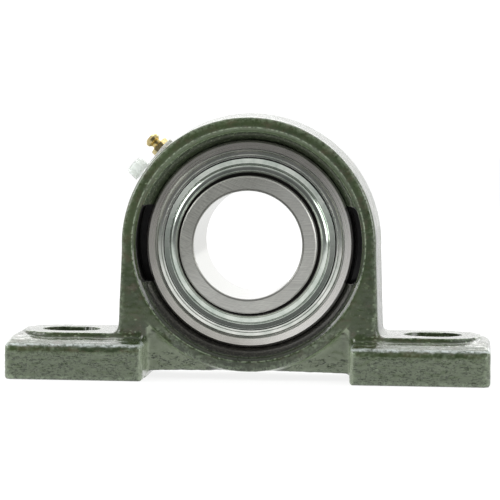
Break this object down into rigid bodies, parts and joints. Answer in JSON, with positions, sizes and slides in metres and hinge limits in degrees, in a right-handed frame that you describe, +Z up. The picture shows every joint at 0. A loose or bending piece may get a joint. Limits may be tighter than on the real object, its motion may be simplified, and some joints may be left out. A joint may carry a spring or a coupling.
{
  "type": "pillow block bearing",
  "caption": "Cast pillow block on two slotted feet with a self-aligning sealed ball bearing insert, set screws in the extended inner ring, and a capped grease nipple.",
  "frame": {"origin": "on the base plane, straight below the middle of the bearing and midway between the two bolt slots", "axes": "+Z up from the base, +X along the base away from the nipple side, +Y along the shaft towards the set screw end; the front, with the short end of the inner ring, faces -Y"},
  "size_m": [0.192, 0.0572, 0.106],
  "materials": {
    "housing_paint": "dark green machinery enamel over a sand-cast skin",
    "ring_steel": "ground bearing steel",
    "ball_steel": "polished",
    "cage_steel": "pressed strip",
    "shield_zinc": "zinc plated sheet",
    "lip_rubber": "moulded nitrile rubber",
    "flinger_zinc": "zinc plated sheet",
    "screw_black": "black oxide",
    "nipple_brass": "turned",
    "cap_plastic": "natural polyethylene",
    "spring_steel": "drawn wire"
  },
  "bodies": {
    "housing": {"housing": "housing_paint", "grease_nipple": "nipple_brass", "nipple_spring": "spring_steel"},
    "insert": {"outer_ring": "ring_steel", "seal_shield_front": "shield_zinc", "seal_shield_back": "shield_zinc", "seal_lip_front": "lip_rubber", "seal_lip_back": "lip_rubber"},
    "rotor": {"inner_ring": "ring_steel", "flinger_front": "flinger_zinc", "flinger_back": "flinger_zinc"},
    "cage": {"cage_front": "cage_steel", "cage_back": "cage_steel", "cage_rivets": "cage_steel"},
    "screw_1": {"set_screw_1": "screw_black"},
    "screw_2": {"set_screw_2": "screw_black"},
    "check_ball": {"nipple_check_ball": "ball_steel"},
    "dust_cap": {"nipple_cap": "cap_plastic"},
    "ball_1_body": {"ball_1": "ball_steel"},
    "ball_2_body": {"ball_2": "ball_steel"},
    "ball_3_body": {"ball_3": "ball_steel"},
    "ball_4_body": {"ball_4": "ball_steel"},
    "ball_5_body": {"ball_5": "ball_steel"},
    "ball_6_body": {"ball_6": "ball_steel"},
    "ball_7_body": {"ball_7": "ball_steel"},
    "ball_8_body": {"ball_8": "ball_steel"},
    "ball_9_body": {"ball_9": "ball_steel"}
  },
  "joints": [
    {"name": "insert_tilt", "type": "hinge", "parent": "housing", "child": "insert", "pos_m": [0, 0, 0.054], "axis": [1, 0, 0], "range_deg": [-3, 3]},
    {"name": "shaft_spin", "type": "hinge", "parent": "insert", "child": "rotor", "pos_m": [0, 0, 0.054], "axis": [0, 1, 0], "continuous": true},
    {"name": "cage_spin", "type": "hinge", "parent": "insert", "child": "cage", "pos_m": [0, 0, 0.054], "axis": [0, 1, 0], "continuous": true},
    {"name": "ball_1_spin", "type": "hinge", "parent": "cage", "child": "ball_1_body", "pos_m": [0, 0, 0.0865], "axis": [0, 1, 0], "continuous": true},
    {"name": "ball_2_spin", "type": "hinge", "parent": "cage", "child": "ball_2_body", "pos_m": [-0.02089, 0, 0.0789], "axis": [0, 1, 0], "continuous": true},
    {"name": "ball_3_spin", "type": "hinge", "parent": "cage", "child": "ball_3_body", "pos_m": [-0.03201, 0, 0.05964], "axis": [0, 1, 0], "continuous": true},
    {"name": "ball_4_spin", "type": "hinge", "parent": "cage", "child": "ball_4_body", "pos_m": [-0.02815, 0, 0.03775], "axis": [0, 1, 0], "continuous": true},
    {"name": "ball_5_spin", "type": "hinge", "parent": "cage", "child": "ball_5_body", "pos_m": [-0.01112, 0, 0.02346], "axis": [0, 1, 0], "continuous": true},
    {"name": "ball_6_spin", "type": "hinge", "parent": "cage", "child": "ball_6_body", "pos_m": [0.01112, 0, 0.02346], "axis": [0, 1, 0], "continuous": true},
    {"name": "ball_7_spin", "type": "hinge", "parent": "cage", "child": "ball_7_body", "pos_m": [0.02815, 0, 0.03775], "axis": [0, 1, 0], "continuous": true},
    {"name": "ball_8_spin", "type": "hinge", "parent": "cage", "child": "ball_8_body", "pos_m": [0.03201, 0, 0.05964], "axis": [0, 1, 0], "continuous": true},
    {"name": "ball_9_spin", "type": "hinge", "parent": "cage", "child": "ball_9_body", "pos_m": [0.02089, 0, 0.0789], "axis": [0, 1, 0], "continuous": true},
    {"name": "screw_1_drive", "type": "slide", "parent": "rotor", "child": "screw_1", "axis": [0.1564, 0, -0.9877], "range_m": [-0.004, 0.003]},
    {"name": "screw_2_drive", "type": "slide", "parent": "rotor", "child": "screw_2", "axis": [-0.9336, 0, 0.3584], "range_m": [-0.004, 0.003]},
    {"name": "check_ball_lift", "type": "slide", "parent": "housing", "child": "check_ball", "axis": [0.7547, 0, -0.6561], "range_m": [0, 0.0005], "stiffness_N_per_m": 600, "springref_m": -0.0005, "deforming": ["nipple_spring"]},
    {"name": "cap_swivel", "type": "hinge", "parent": "housing", "child": "dust_cap", "pos_m": [-0.03685, 0.0067, 0.09077], "axis": [-0.7547, 0, 0.6561], "continuous": true}
  ],
  "couplings": [
    {"joint": "cage_spin", "follows": "shaft_spin", "ratio": 0.40231},
    {"joint": "ball_1_spin", "follows": "shaft_spin", "ratio": -2.4614},
    {"joint": "ball_2_spin", "follows": "shaft_spin", "ratio": -2.4614},
    {"joint": "ball_3_spin", "follows": "shaft_spin", "ratio": -2.4614},
    {"joint": "ball_4_spin", "follows": "shaft_spin", "ratio": -2.4614},
    {"joint": "ball_5_spin", "follows": "shaft_spin", "ratio": -2.4614},
    {"joint": "ball_6_spin", "follows": "shaft_spin", "ratio": -2.4614},
    {"joint": "ball_7_spin", "follows": "shaft_spin", "ratio": -2.4614},
    {"joint": "ball_8_spin", "follows": "shaft_spin", "ratio": -2.4614},
    {"joint": "ball_9_spin", "follows": "shaft_spin", "ratio": -2.4614}
  ]
}
